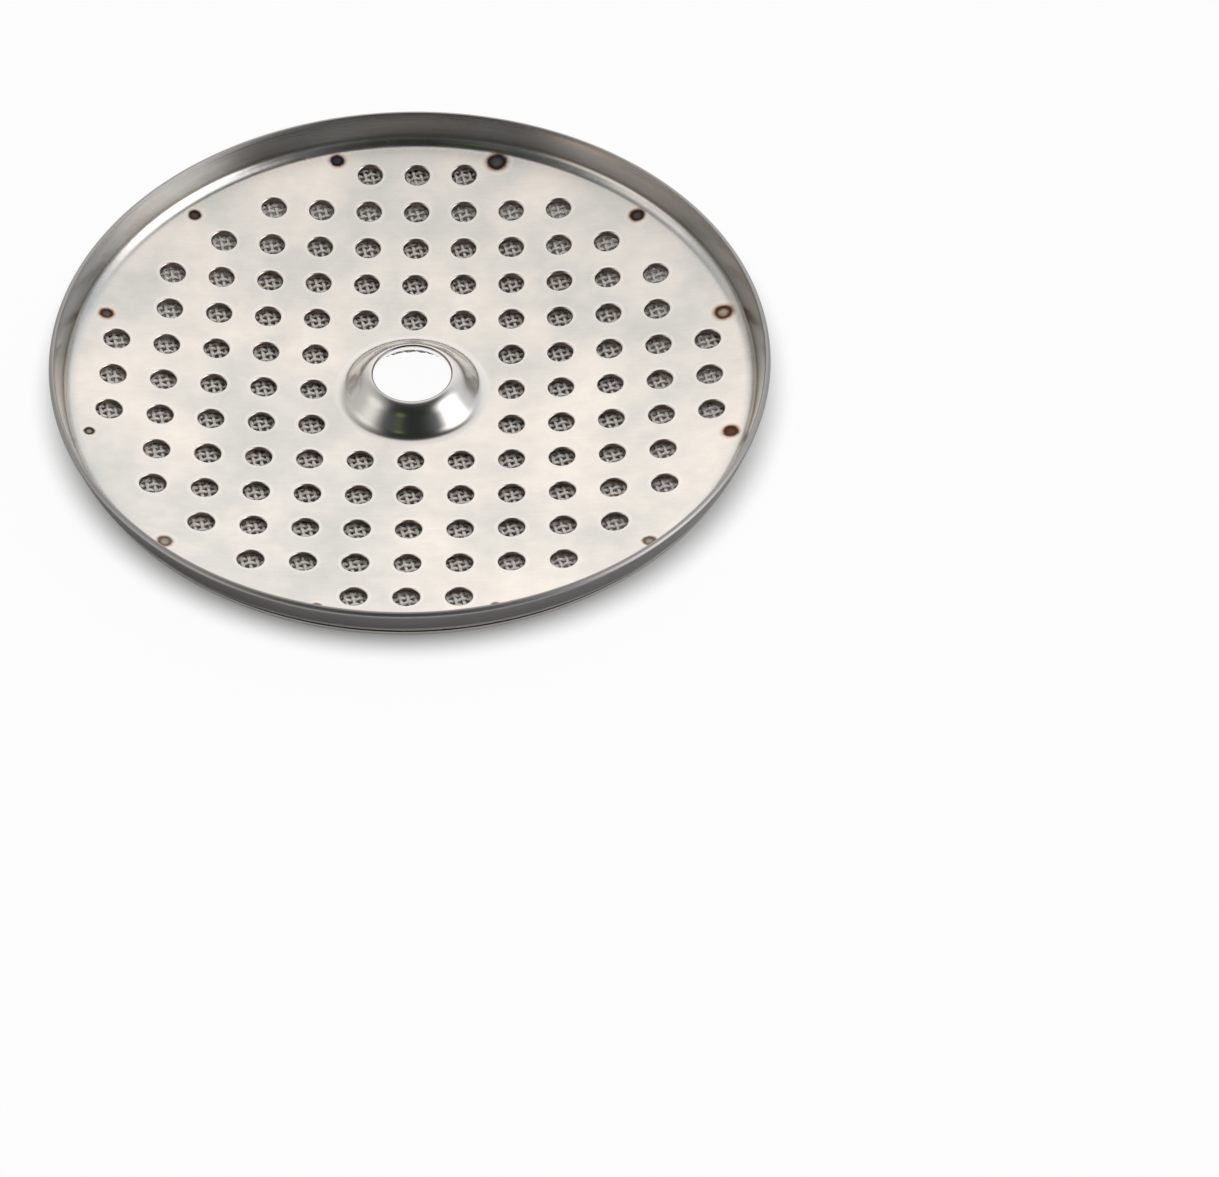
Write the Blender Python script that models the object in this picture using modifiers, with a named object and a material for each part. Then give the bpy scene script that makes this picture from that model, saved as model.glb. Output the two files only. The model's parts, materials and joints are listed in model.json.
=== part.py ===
"""Espresso shower screen: a dished, perforated steel cup with a woven mesh and its retaining ring.

The cup is drawn from one sheet and stands open side up. Its floor is a shallow dish with a square
grid of punched holes and a raised cone in the middle, where the fixing screw passes. The mesh lies
under the floor and follows the dish and the cone. A flat ring holds the edge of the mesh against
the cup, and twelve spot welds join the three in the real product.

Lengths are metres. Every profile lies in the XZ plane, as (radius, height) pairs whose heights count
from the lowest point of the dish's inner face, as if the cone weren't there. An empty lifts the
assembly, so that the lowest point of the mesh stands on the XY plane.
"""

import math

import bmesh
import bpy

MM = 0.001

# Cup
RIM_DIAMETER = 57.5 * MM
CUP_DEPTH = 5.2 * MM
SHEET = 0.5 * MM
DISH_RADIUS = 147.0 * MM
WALL_FLARE = math.radians(17.0)
BEND_RADIUS = 1.2 * MM
RIM_ROUNDING = 0.12 * MM

# Raised cone with the screw hole
SCREW_HOLE_DIAMETER = 6.3 * MM
BOSS_HEIGHT = 2.15 * MM
BOSS_SLOPE = math.radians(38.0)
BOSS_FILLET = 0.6 * MM

# Punched holes of the floor
HOLE_PITCH = 4.0 * MM
HOLE_DIAMETER = 2.05 * MM
HOLE_TO_BOSS = 0.6 * MM
HOLE_FIELD_MARGIN = 2.0 * MM

# Woven mesh, as one wall of flat ribbons
MESH_THICKNESS = 0.26 * MM
WEAVE_RELIEF = 0.18 * MM
MESH_GAP = 1.4 * MM
MESH_EDGE_SETBACK = 1.1 * MM
MESH_HOLE_MARGIN = 0.2 * MM
SEAT_CLEARANCE = 0.04 * MM

# Retaining ring
RING_SETBACK = 1.05 * MM
RING_WIDTH = 3.1 * MM
RING_THICKNESS = 0.3 * MM
RING_EDGE_CLEARANCE = 0.15 * MM

# Facets
TURN_STEPS = 60
HOLE_SIDES = 10
DISH_STEPS = 4
BEND_STEPS = 3
FILLET_STEPS = 2
ROUNDING_STEPS = 2
RING_STEPS = 4
CONE_STEPS = 2
MERGE_DISTANCE = 1e-7
CUTTER_OVERSHOOT = 2.0 * MM

# Shared values, worked out from the sizes above
RIM_RADIUS = RIM_DIAMETER / 2
SCREW_HOLE_RADIUS = SCREW_HOLE_DIAMETER / 2
HOLE_RADIUS = HOLE_DIAMETER / 2
RING_OUTER = RIM_RADIUS - RING_SETBACK
RING_INNER = RING_OUTER - RING_WIDTH
MESH_RADIUS = RING_OUTER - MESH_EDGE_SETBACK
MESH_TOP = SHEET + SEAT_CLEARANCE
RING_TOP = MESH_TOP + WEAVE_RELIEF + MESH_THICKNESS + SEAT_CLEARANCE
WALL_OUTER_TOP = RIM_RADIUS - RIM_ROUNDING * (1 - math.tan((math.pi / 2 + WALL_FLARE) / 2))
WALL_INNER_TOP = WALL_OUTER_TOP - SHEET / math.cos(WALL_FLARE)


def fillet_centre(point, along, across, radius):
    """Centre of a fillet that touches the dish's inner face and a straight side.

    point lies on the side, along is the unit direction of travel down it, and across the unit
    direction from the side to the fillet's centre. The centre is a radius from the side, and its
    distance from the dish's own centre is the dish's radius less its own.
    """
    start_r = point[0] + across[0] * radius
    start_z = point[1] + across[1] * radius - DISH_RADIUS
    half_b = start_r * along[0] + start_z * along[1]
    c = start_r ** 2 + start_z ** 2 - (DISH_RADIUS - radius) ** 2
    travel = -half_b + math.sqrt(half_b ** 2 - c)
    return (start_r + along[0] * travel, start_z + along[1] * travel + DISH_RADIUS)


def dish_direction(centre):
    """Unit vector from the dish's centre through a fillet's centre, to where the two faces touch."""
    reach = math.hypot(centre[0], centre[1] - DISH_RADIUS)
    return (centre[0] / reach, (centre[1] - DISH_RADIUS) / reach)


BEND_CENTRE = fillet_centre(
    (WALL_INNER_TOP, CUP_DEPTH),
    (-math.sin(WALL_FLARE), -math.cos(WALL_FLARE)),
    (-math.cos(WALL_FLARE), math.sin(WALL_FLARE)),
    BEND_RADIUS,
)
BOSS_CENTRE = fillet_centre(
    (SCREW_HOLE_RADIUS, BOSS_HEIGHT),
    (math.cos(BOSS_SLOPE), -math.sin(BOSS_SLOPE)),
    (math.sin(BOSS_SLOPE), math.cos(BOSS_SLOPE)),
    BOSS_FILLET,
)
BEND_START = dish_direction(BEND_CENTRE)
BOSS_END = dish_direction(BOSS_CENTRE)


def on_circle(centre, radius, direction):
    """Point at a radius from a centre, in a unit direction."""
    return (centre[0] + radius * direction[0], centre[1] + radius * direction[1])


def cone_foot(depth):
    """Where the cone runs into its fillet, on the face that lies depth below the inner face."""
    return on_circle(BOSS_CENTRE, BOSS_FILLET + depth, (-math.sin(BOSS_SLOPE), -math.cos(BOSS_SLOPE)))


def boss_edge(depth):
    """Where the cone's fillet runs into the dish, on the face at a depth."""
    return on_circle(BOSS_CENTRE, BOSS_FILLET + depth, BOSS_END)


def dish_edge(depth):
    """Where the dish runs into the bend, on the face at a depth."""
    return on_circle(BEND_CENTRE, BEND_RADIUS + depth, BEND_START)


def wall_foot(depth):
    """Where the bend runs into the wall, on the face at a depth."""
    return on_circle(BEND_CENTRE, BEND_RADIUS + depth, (math.cos(WALL_FLARE), -math.sin(WALL_FLARE)))


def dish_height(radius, depth):
    """Height of the dish at a radius and depth, as if it had neither cone nor wall."""
    return DISH_RADIUS - math.sqrt((DISH_RADIUS + depth) ** 2 - radius ** 2)


def face_height(radius, depth):
    """Height at a radius of the face that lies depth below the cup's inner face."""
    foot = cone_foot(depth)
    if radius <= foot[0]:
        return foot[1] + (foot[0] - radius) * math.tan(BOSS_SLOPE)
    if radius <= boss_edge(depth)[0]:
        return BOSS_CENTRE[1] - math.sqrt((BOSS_FILLET + depth) ** 2 - (radius - BOSS_CENTRE[0]) ** 2)
    if radius <= dish_edge(depth)[0]:
        return dish_height(radius, depth)
    return BEND_CENTRE[1] - math.sqrt((BEND_RADIUS + depth) ** 2 - (radius - BEND_CENTRE[0]) ** 2)


def arc(centre, radius, first, last, steps):
    """Points of an arc from angle first to angle last, both ends included."""
    angles = [first + (last - first) * step / steps for step in range(steps + 1)]
    return [on_circle(centre, radius, (math.cos(angle), math.sin(angle))) for angle in angles]


def angle_of(direction):
    """Angle of a direction in the profile plane."""
    return math.atan2(direction[1], direction[0])


def cup_face(depth):
    """The cup's face at a depth, from the cone's foot out to the wall's foot."""
    cone_side = angle_of((-math.sin(BOSS_SLOPE), -math.cos(BOSS_SLOPE)))
    points = arc(BOSS_CENTRE, BOSS_FILLET + depth, cone_side, angle_of(BOSS_END), FILLET_STEPS)
    first = points[-1][0]
    last = dish_edge(depth)[0]
    for step in range(1, DISH_STEPS):
        radius = first + (last - first) * step / DISH_STEPS
        points.append((radius, face_height(radius, depth)))
    bend = arc(BEND_CENTRE, BEND_RADIUS + depth, angle_of(BEND_START), -WALL_FLARE, BEND_STEPS)
    return points + bend


def rim_rounding(radius, inward):
    """The rounded corner at the top of one side of the wall, listed from the wall up.

    radius is where that side would meet the rim's plane. inward is 1 for the side that faces the
    axis and -1 for the outer side.
    """
    setback = RIM_ROUNDING * math.tan((math.pi / 2 - inward * WALL_FLARE) / 2)
    centre = (radius + inward * setback, CUP_DEPTH - RIM_ROUNDING)
    side = angle_of((-inward * math.cos(WALL_FLARE), inward * math.sin(WALL_FLARE)))
    return arc(centre, RIM_ROUNDING, side, math.pi / 2, ROUNDING_STEPS)


def cup_profile():
    """Closed outline of the sheet, down the wall's outside, in to the screw hole and back."""
    outer_rounding = rim_rounding(WALL_OUTER_TOP, -1)
    inner_rounding = rim_rounding(WALL_INNER_TOP, 1)
    outside = outer_rounding[::-1] + cup_face(SHEET)[::-1]
    lower_edge = (SCREW_HOLE_RADIUS, face_height(SCREW_HOLE_RADIUS, SHEET))
    upper_edge = (SCREW_HOLE_RADIUS, BOSS_HEIGHT - RIM_ROUNDING)
    crown = SCREW_HOLE_RADIUS + RIM_ROUNDING
    eased = (crown, face_height(crown, 0.0))
    return outside + [lower_edge, upper_edge, eased] + cup_face(0.0) + inner_rounding


def ring_profile():
    """Closed outline of the ring, whose outer margin is pressed up round the bend."""
    flat_end = MESH_RADIUS + SEAT_CLEARANCE
    radii = [RING_INNER, (RING_INNER + flat_end) / 2]
    radii += [flat_end + (RING_OUTER - flat_end) * step / RING_STEPS for step in range(RING_STEPS + 1)]
    edge_depth = SHEET + RING_EDGE_CLEARANCE
    top = []
    bottom = []
    for radius in radii:
        share = max(0.0, (radius - flat_end) / (RING_OUTER - flat_end))
        eased = share * share * (3 - 2 * share)
        depth = RING_TOP + (edge_depth - RING_TOP) * eased
        height = face_height(radius, depth)
        top.append((radius, height))
        bottom.append((radius, height - RING_THICKNESS))
    return [top[-1]] + bottom[::-1] + top[:-1]


def steel(name, colour, roughness):
    """A steel finish with one colour and roughness."""
    material = bpy.data.materials.new(name)
    material.use_nodes = True
    shader = material.node_tree.nodes["Principled BSDF"]
    shader.inputs["Base Color"].default_value = (*colour, 1.0)
    shader.inputs["Roughness"].default_value = roughness
    shader.inputs["Metallic"].default_value = 1.0
    material.diffuse_color = (*colour, 1.0)
    return material


def add_object(name, bm, collection, parent):
    """Turn a bmesh into a named object under the assembly's empty."""
    mesh = bpy.data.meshes.new(name)
    bm.to_mesh(mesh)
    bm.free()
    obj = bpy.data.objects.new(name, mesh)
    obj.parent = parent
    collection.objects.link(obj)
    return obj


def turned(name, profile, collection, parent):
    """A closed profile turned about the Z axis by a Screw modifier."""
    bm = bmesh.new()
    corners = [bm.verts.new((radius, 0.0, height)) for radius, height in profile]
    for first, second in zip(corners, corners[1:] + corners[:1]):
        bm.edges.new((first, second))
    obj = add_object(name, bm, collection, parent)
    screw = obj.modifiers.new("turn", "SCREW")
    screw.axis = "Z"
    screw.steps = TURN_STEPS
    screw.render_steps = TURN_STEPS
    screw.use_merge_vertices = True
    screw.merge_threshold = MERGE_DISTANCE
    screw.use_smooth_shade = True
    return obj


def subtract(obj, cutter, collection_name):
    """Cut a hidden cutter out of an object."""
    cutter.hide_render = True
    cutter.display_type = "WIRE"
    boolean = obj.modifiers.new(collection_name, "BOOLEAN")
    boolean.operation = "DIFFERENCE"
    boolean.solver = "EXACT"
    boolean.object = cutter


def hole_places():
    """Grid places of the punched holes, as whole steps from the middle."""
    outer = dish_edge(0.0)[0] - HOLE_FIELD_MARGIN
    inner = boss_edge(0.0)[0] + HOLE_RADIUS + HOLE_TO_BOSS
    reach = int(outer / HOLE_PITCH) + 1
    places = []
    for row in range(-reach, reach + 1):
        for column in range(-reach, reach + 1):
            if inner <= math.hypot(row, column) * HOLE_PITCH <= outer:
                places.append((column, row))
    return places


def hole_cutter(collection, parent):
    """One upright punch for each hole of the floor."""
    bm = bmesh.new()
    length = CUP_DEPTH + SHEET + 2 * CUTTER_OVERSHOOT
    for column, row in hole_places():
        made = bmesh.ops.create_cone(
            bm, cap_ends=True, segments=HOLE_SIDES, radius1=HOLE_RADIUS, radius2=HOLE_RADIUS, depth=length
        )
        place = (column * HOLE_PITCH, row * HOLE_PITCH, (CUP_DEPTH - SHEET) / 2)
        bmesh.ops.translate(bm, verts=made["verts"], vec=place)
    return add_object("hole_punches", bm, collection, parent)


def perforated_cup(collection, cutters, parent):
    """The drawn sheet: dished floor, punched holes, raised cone and flared wall."""
    cup = turned("perforated_cup", cup_profile(), collection, parent)
    subtract(cup, hole_cutter(cutters, parent), "punched_holes")
    return cup


def ribbon_line(index):
    """Place of one grid line of the mesh: the lines run along both sides of each row of gaps."""
    row, side = divmod(index, 2)
    return row * HOLE_PITCH + (MESH_GAP / 2 if side else -MESH_GAP / 2)


def weave_level(index_x, index_y):
    """0 where the ribbons cross against the cup's floor, 1 where they cross on the far side."""
    crossing_x = (index_x - 1) // 2
    crossing_y = (index_y - 1) // 2
    return (crossing_x + crossing_y) % 2


def mesh_lines():
    """Number of grid lines on each side of the middle that cover the mesh, and the middle patch's."""
    cover = int(MESH_RADIUS / HOLE_PITCH) + 1
    while ribbon_line(2 * cover) < MESH_RADIUS:
        cover += 1
    patch = 1
    while ribbon_line(2 * patch) < boss_edge(MESH_TOP)[0] + SEAT_CLEARANCE:
        patch += 1
    return cover, patch


def ribbon_net():
    """The upper face of the mesh with an open middle, and its faces that lie at punched holes."""
    cover, patch = mesh_lines()
    bm = bmesh.new()
    segments = 4 * cover - 1
    bmesh.ops.create_grid(bm, x_segments=segments, y_segments=segments, size=segments / 2)
    places = set(hole_places())
    index = {vert: (math.floor(vert.co.x) + 1, math.floor(vert.co.y) + 1) for vert in bm.verts}
    middle = []
    gap_faces = []
    for face in bm.faces:
        first_x = min(index[vert][0] for vert in face.verts)
        first_y = min(index[vert][1] for vert in face.verts)
        if max(abs(first_x), abs(first_y)) < 2 * patch:
            middle.append(face)
        elif first_x % 2 == 0 and first_y % 2 == 0 and (first_x // 2, first_y // 2) in places:
            gap_faces.append(face)
    for vert, (index_x, index_y) in index.items():
        x = ribbon_line(index_x)
        y = ribbon_line(index_y)
        level = weave_level(index_x, index_y)
        if max(abs(x), abs(y)) < ribbon_line(2 * patch) + MESH_GAP / 2:
            level = 1
        vert.co = (x, y, dish_height(math.hypot(x, y), MESH_TOP + level * WEAVE_RELIEF))
    bmesh.ops.delete(bm, geom=middle, context="FACES")
    return bm, gap_faces, ribbon_line(2 * patch)


def close_middle(bm, depth, half_side):
    """Carry the net's square opening in to the screw hole, round the cone."""
    edges = []
    for edge in bm.edges:
        inside = all(max(abs(vert.co.x), abs(vert.co.y)) < half_side + MESH_GAP / 4 for vert in edge.verts)
        if edge.is_boundary and inside:
            edges.append(edge)
    foot = cone_foot(depth)[0]
    shoulder = boss_edge(depth)[0]
    hole = SCREW_HOLE_RADIUS + MESH_HOLE_MARGIN
    radii = [shoulder - (shoulder - foot) * step / FILLET_STEPS for step in range(FILLET_STEPS + 1)]
    radii += [foot - (foot - hole) * step / CONE_STEPS for step in range(1, CONE_STEPS + 1)]
    for radius in radii:
        grown = bmesh.ops.extrude_edge_only(bm, edges=edges)["geom"]
        edges = [item for item in grown if isinstance(item, bmesh.types.BMEdge)]
        for vert in {vert for edge in edges for vert in edge.verts}:
            reach = math.hypot(vert.co.x, vert.co.y)
            vert.co.x *= radius / reach
            vert.co.y *= radius / reach
            vert.co.z = face_height(radius, depth)
    bmesh.ops.recalc_face_normals(bm, faces=bm.faces)
    if sum(face.normal.z for face in bm.faces) < 0:
        bmesh.ops.reverse_faces(bm, faces=bm.faces)


def edge_trimmer(collection, parent):
    """A tube that trims the mesh to its round edge and reaches past the net's four corners."""
    bm = bmesh.new()
    cover, _ = mesh_lines()
    corner = math.hypot(ribbon_line(2 * cover), ribbon_line(2 * cover))
    outer = bmesh.ops.create_circle(bm, segments=TURN_STEPS, radius=corner + CUTTER_OVERSHOOT)
    inner = bmesh.ops.create_circle(bm, segments=TURN_STEPS, radius=MESH_RADIUS)
    loops = {edge for made in (outer, inner) for vert in made["verts"] for edge in vert.link_edges}
    bmesh.ops.bridge_loops(bm, edges=list(loops))
    bottom = -RING_TOP - CUTTER_OVERSHOOT
    length = dish_height(corner, MESH_TOP) + CUTTER_OVERSHOOT - bottom
    grown = bmesh.ops.extrude_face_region(bm, geom=bm.faces[:])["geom"]
    raised = [item for item in grown if isinstance(item, bmesh.types.BMVert)]
    bmesh.ops.translate(bm, verts=raised, vec=(0.0, 0.0, length))
    bmesh.ops.translate(bm, verts=bm.verts, vec=(0.0, 0.0, bottom))
    bmesh.ops.recalc_face_normals(bm, faces=bm.faces)
    return add_object("mesh_trimmer", bm, collection, parent)


def woven_mesh(collection, cutters, parent):
    """The mesh under the floor, ridged like a weave, with its gaps under the punched holes."""
    bm, gap_faces, half_side = ribbon_net()
    close_middle(bm, MESH_TOP + WEAVE_RELIEF, half_side)
    bmesh.ops.delete(bm, geom=gap_faces, context="FACES")
    mesh = add_object("woven_mesh", bm, collection, parent)
    wall = mesh.modifiers.new("wire_thickness", "SOLIDIFY")
    wall.thickness = MESH_THICKNESS
    wall.offset = -1.0
    wall.use_even_offset = True
    subtract(mesh, edge_trimmer(cutters, parent), "round_edge")
    return mesh


def lowest_point(obj):
    """Lowest height of an object's finished mesh."""
    graph = bpy.context.evaluated_depsgraph_get()
    finished = obj.evaluated_get(graph)
    return min((finished.matrix_world @ vert.co).z for vert in finished.data.vertices)


def main():
    """Clear the scene and build the shower screen."""
    for obj in list(bpy.data.objects):
        bpy.data.objects.remove(obj, do_unlink=True)
    parts = bpy.data.collections.new("shower_screen")
    cutters = bpy.data.collections.new("cutters")
    bpy.context.scene.collection.children.link(parts)
    bpy.context.scene.collection.children.link(cutters)
    stand = bpy.data.objects.new("shower_screen_stand", None)
    parts.objects.link(stand)
    cup = perforated_cup(parts, cutters, stand)
    mesh = woven_mesh(parts, cutters, stand)
    ring = turned("retaining_ring", ring_profile(), parts, stand)
    cup.data.materials.append(steel("cup_steel", (0.72, 0.69, 0.65), 0.32))
    mesh.data.materials.append(steel("mesh_steel", (0.62, 0.60, 0.55), 0.38))
    ring.data.materials.append(steel("ring_steel", (0.70, 0.68, 0.64), 0.36))
    stand.location.z = -lowest_point(mesh)


main()
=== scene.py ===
"""Espresso shower screen: the drawn steel cup, its woven mesh and its retaining ring, dressed and lit.

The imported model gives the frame. Each piece here replaces one node of it and stays inside that
node's box: a finer cup with rounded hole edges and weld marks, a mesh of real woven wires, and a
ring with soft edges. Lengths are metres in the frame of the model, +Z towards the cup's open side.
"""

import json
import logging
import math
import random
from dataclasses import dataclass
from enum import Enum
from typing import Any, Iterable

import bmesh
import bpy
from mathutils import Matrix, Vector
from mathutils.geometry import delaunay_2d_cdt

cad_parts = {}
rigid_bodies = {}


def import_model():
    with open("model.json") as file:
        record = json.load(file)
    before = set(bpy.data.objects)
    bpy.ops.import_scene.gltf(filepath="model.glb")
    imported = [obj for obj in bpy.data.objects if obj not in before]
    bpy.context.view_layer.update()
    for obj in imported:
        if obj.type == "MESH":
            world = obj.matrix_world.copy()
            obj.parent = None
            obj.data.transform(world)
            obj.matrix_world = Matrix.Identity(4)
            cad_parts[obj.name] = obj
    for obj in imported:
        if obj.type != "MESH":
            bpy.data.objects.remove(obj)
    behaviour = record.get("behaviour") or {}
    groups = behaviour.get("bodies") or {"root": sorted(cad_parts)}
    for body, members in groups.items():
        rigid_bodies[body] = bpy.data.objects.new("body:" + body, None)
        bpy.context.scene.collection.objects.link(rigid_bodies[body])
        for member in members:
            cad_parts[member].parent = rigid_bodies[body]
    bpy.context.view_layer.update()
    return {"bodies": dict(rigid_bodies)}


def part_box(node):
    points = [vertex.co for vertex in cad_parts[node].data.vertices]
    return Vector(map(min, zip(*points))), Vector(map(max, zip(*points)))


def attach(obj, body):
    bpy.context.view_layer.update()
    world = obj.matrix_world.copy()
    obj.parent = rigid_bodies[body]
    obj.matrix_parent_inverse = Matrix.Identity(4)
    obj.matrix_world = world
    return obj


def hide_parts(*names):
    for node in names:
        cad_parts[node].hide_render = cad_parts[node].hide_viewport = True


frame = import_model()
LOG = logging.getLogger("shower_screen")

MM = 0.001
IMAGE_WIDTH = 1219
IMAGE_HEIGHT = 1177
SHARP_ANGLE = math.radians(40.0)
MERGE_DISTANCE = 1e-7

Point = tuple[float, float]
Colour = tuple[float, float, float]


class Lay(Enum):
    """The two directions of the mesh's wires, each with the seed of its ragged ends."""

    WARP = 11
    WEFT = 12


@dataclass(frozen=True)
class Section:
    """The section of the drawn sheet, as (radius, height) points over the disc's axis.

    A depth is measured at right angles below the cup's inner face.
    """

    rim_radius: float
    rim_top: float
    cup_depth: float = 5.2 * MM
    sheet: float = 0.5 * MM
    dish_radius: float = 147.0 * MM
    flare: float = math.radians(17.0)
    bend_radius: float = 1.2 * MM
    rim_rounding: float = 0.34 * MM
    lip_rounding: float = 0.1 * MM
    screw_radius: float = 3.15 * MM
    boss_height: float = 2.711 * MM
    boss_slope: float = math.radians(46.0)
    boss_fillet: float = 1.6 * MM
    boss_crown: float = 2.78 * MM
    crown_slope: float = math.radians(18.0)
    screw_rounding: float = 0.12 * MM

    @property
    def floor(self) -> float:
        """Height of the dish's lowest point, as if the cone weren't there."""
        return self.rim_top - self.cup_depth

    def touching(self, point: Point, along: Point, across: Point, radius: float) -> Point:
        """Find the centre of a fillet between the dish and a straight side.

        Args:
            point: a point of the side.
            along: unit direction down the side.
            across: unit direction from the side to the fillet's centre.
            radius: the fillet's radius.

        Returns:
            The fillet's centre.
        """
        start_r = point[0] + across[0] * radius
        start_z = point[1] + across[1] * radius - self.floor - self.dish_radius
        half_b = start_r * along[0] + start_z * along[1]
        rest = start_r**2 + start_z**2 - (self.dish_radius - radius) ** 2
        travel = -half_b + math.sqrt(half_b**2 - rest)
        return (start_r + along[0] * travel, start_z + along[1] * travel + self.floor + self.dish_radius)

    @property
    def wall_top(self) -> float:
        """Radius at which the wall's inner side would meet the rim's plane."""
        lean = 1 - 1 / math.cos(self.flare) - math.tan(self.flare)
        return self.rim_radius - self.rim_rounding * lean - self.sheet / math.cos(self.flare)

    @property
    def bend_centre(self) -> Point:
        """Centre of the bend between dish and wall."""
        sine, cosine = math.sin(self.flare), math.cos(self.flare)
        top = (self.wall_top, self.rim_top)
        return self.touching(top, (-sine, -cosine), (-cosine, sine), self.bend_radius)

    @property
    def boss_centre(self) -> Point:
        """Centre of the fillet at the foot of the cone."""
        sine, cosine = math.sin(self.boss_slope), math.cos(self.boss_slope)
        top = (self.screw_radius, self.floor + self.boss_height)
        return self.touching(top, (cosine, -sine), (sine, cosine), self.boss_fillet)

    @property
    def crown_centre(self) -> Point:
        """Centre of the domed crown between the cone's side and the screw hole."""
        tip = self.screw_radius + self.screw_rounding * (1 + math.sin(self.crown_slope))
        centre = tip - self.boss_crown * math.sin(self.crown_slope)
        joint = centre + self.boss_crown * math.sin(self.boss_slope)
        drop = (joint - self.screw_radius) * math.tan(self.boss_slope)
        drop += self.boss_crown * math.cos(self.boss_slope)
        return (centre, self.floor + self.boss_height - drop)

    def crown_end(self, depth: float) -> Point:
        """Point where the crown runs into the cone's straight side."""
        return polar(self.crown_centre, self.boss_crown - depth, math.pi / 2 - self.boss_slope)

    def towards_dish(self, centre: Point) -> float:
        """Angle at which a fillet with this centre runs into the dish."""
        return math.atan2(centre[1] - self.floor - self.dish_radius, centre[0])

    def cone_foot(self, depth: float) -> Point:
        """Point where the cone runs into its fillet."""
        return polar(self.boss_centre, self.boss_fillet + depth, -math.pi / 2 - self.boss_slope)

    def boss_edge(self, depth: float) -> Point:
        """Point where the cone's fillet runs into the dish."""
        return polar(self.boss_centre, self.boss_fillet + depth, self.towards_dish(self.boss_centre))

    def dish_edge(self, depth: float) -> Point:
        """Point where the dish runs into the bend."""
        return polar(self.bend_centre, self.bend_radius + depth, self.towards_dish(self.bend_centre))

    def dish(self, radius: float, depth: float = 0.0) -> float:
        """Height of the dish at a radius, without cone and wall."""
        return self.floor + self.dish_radius - math.sqrt((self.dish_radius + depth) ** 2 - radius**2)

    def height(self, radius: float, depth: float) -> float:
        """Height at a radius of the face at a depth, from the cone to the bend."""
        foot, centre = self.cone_foot(depth), self.crown_centre
        if radius <= self.crown_end(depth)[0]:
            return centre[1] + math.sqrt((self.boss_crown - depth) ** 2 - (radius - centre[0]) ** 2)
        if radius <= foot[0]:
            return foot[1] + (foot[0] - radius) * math.tan(self.boss_slope)
        if radius <= self.boss_edge(depth)[0]:
            centre = self.boss_centre
            return centre[1] - math.sqrt((self.boss_fillet + depth) ** 2 - (radius - centre[0]) ** 2)
        if radius <= self.dish_edge(depth)[0]:
            return self.dish(radius, depth)
        centre = self.bend_centre
        return centre[1] - math.sqrt((self.bend_radius + depth) ** 2 - (radius - centre[0]) ** 2)


@dataclass(frozen=True)
class HoleGrid:
    """The square grid of punched holes in the cup's floor."""

    pitch: float = 4.0 * MM
    radius: float = 1.025 * MM
    inner_limit: float = 7.7 * MM
    outer_limit: float = 24.7 * MM

    def centres(self) -> list[Point]:
        """List the centres of the holes, row by row."""
        reach = int(self.outer_limit / self.pitch)
        steps = range(-reach, reach + 1)
        places = [(column * self.pitch, row * self.pitch) for row in steps for column in steps]
        return [p for p in places if self.inner_limit <= math.hypot(*p) <= self.outer_limit]

    def share(self, x: float, y: float) -> float:
        """Distance of a point from its hole's middle as a share of the radius, 1 outside every hole."""
        column, row = round(x / self.pitch) * self.pitch, round(y / self.pitch) * self.pitch
        if not self.inner_limit <= math.hypot(column, row) <= self.outer_limit:
            return 1.0
        return min(1.0, math.hypot(x - column, y - row) / self.radius)


@dataclass(frozen=True)
class WeldMark:
    """One spot weld as it shows on the cup.

    Its size is the burn's radius and inward its distance inside the circle, both in millimetres.
    The halo is the strength of the tan ring round it.
    """

    size: float
    inward: float
    halo: float
    core: Colour
    ring: Colour


BLUE_CORE: Colour = (0.045, 0.075, 0.15)
SLATE_CORE: Colour = (0.12, 0.13, 0.15)
DARK_CORE: Colour = (0.12, 0.095, 0.085)
RUST_CORE: Colour = (0.15, 0.065, 0.035)
BRIGHT_CORE: Colour = (0.50, 0.42, 0.33)
FAINT_CORE: Colour = (0.42, 0.37, 0.31)
BLACK_RING: Colour = (0.045, 0.030, 0.025)
BROWN_RING: Colour = (0.085, 0.036, 0.018)
FAINT_RING: Colour = (0.17, 0.12, 0.085)


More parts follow.
